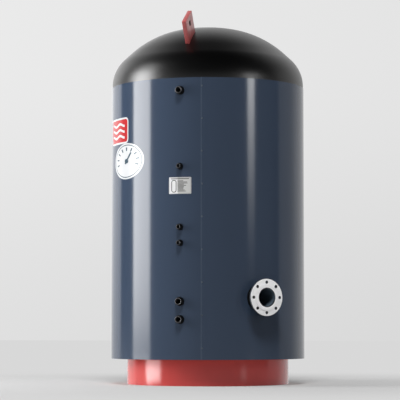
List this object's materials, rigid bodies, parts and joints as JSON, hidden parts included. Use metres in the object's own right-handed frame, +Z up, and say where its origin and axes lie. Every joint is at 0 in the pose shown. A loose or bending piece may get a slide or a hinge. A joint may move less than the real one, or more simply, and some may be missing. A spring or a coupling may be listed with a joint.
{
  "type": "indirect water heater",
  "caption": "Upright insulated hot water storage tank on a foot ring, with sheet jacket, domed cover, lifting lug, screwed sockets and a side flange.",
  "frame": {"origin": "on the floor under the tank's vertical axis, in the plane of the foot ring's lower edge", "axes": "+Z up along the tank's axis, -Y towards the column of screwed sockets, the flange 46.5 degrees from it towards +X"},
  "size_m": [1.2, 1.24, 2.2698],
  "materials": {
    "red_paint": "semi-gloss",
    "vessel_steel": "matt",
    "foam": "open-cell foam",
    "blue_paint": "gloss",
    "black_cover": "satin",
    "black_paint": "satin",
    "black_rubber": "satin",
    "machined_steel": "turned",
    "plate": "satin"
  },
  "bodies": {
    "root": {"cold_water_collar": "black_rubber", "cold_water_socket": "black_paint", "flange_collar": "black_rubber", "flange_neck": "black_paint", "flange_ring": "machined_steel", "foot_ring": "red_paint", "heating_return_collar": "black_rubber", "heating_return_socket": "black_paint", "hot_water_collar": "black_rubber", "hot_water_socket": "black_paint", "insulation_top": "foam", "insulation_wall": "foam", "jacket_sheet": "blue_paint", "lifting_lug": "red_paint", "lower_sensor_collar": "black_rubber", "lower_sensor_socket": "black_paint", "rating_plate": "plate", "thermometer_collar": "black_rubber", "thermometer_socket": "black_paint", "top_cover": "black_cover", "upper_sensor_collar": "black_rubber", "upper_sensor_socket": "black_paint", "vessel_bottom_end": "red_paint", "vessel_shell": "vessel_steel", "vessel_top_end": "vessel_steel"}
  },
  "joints": []
}
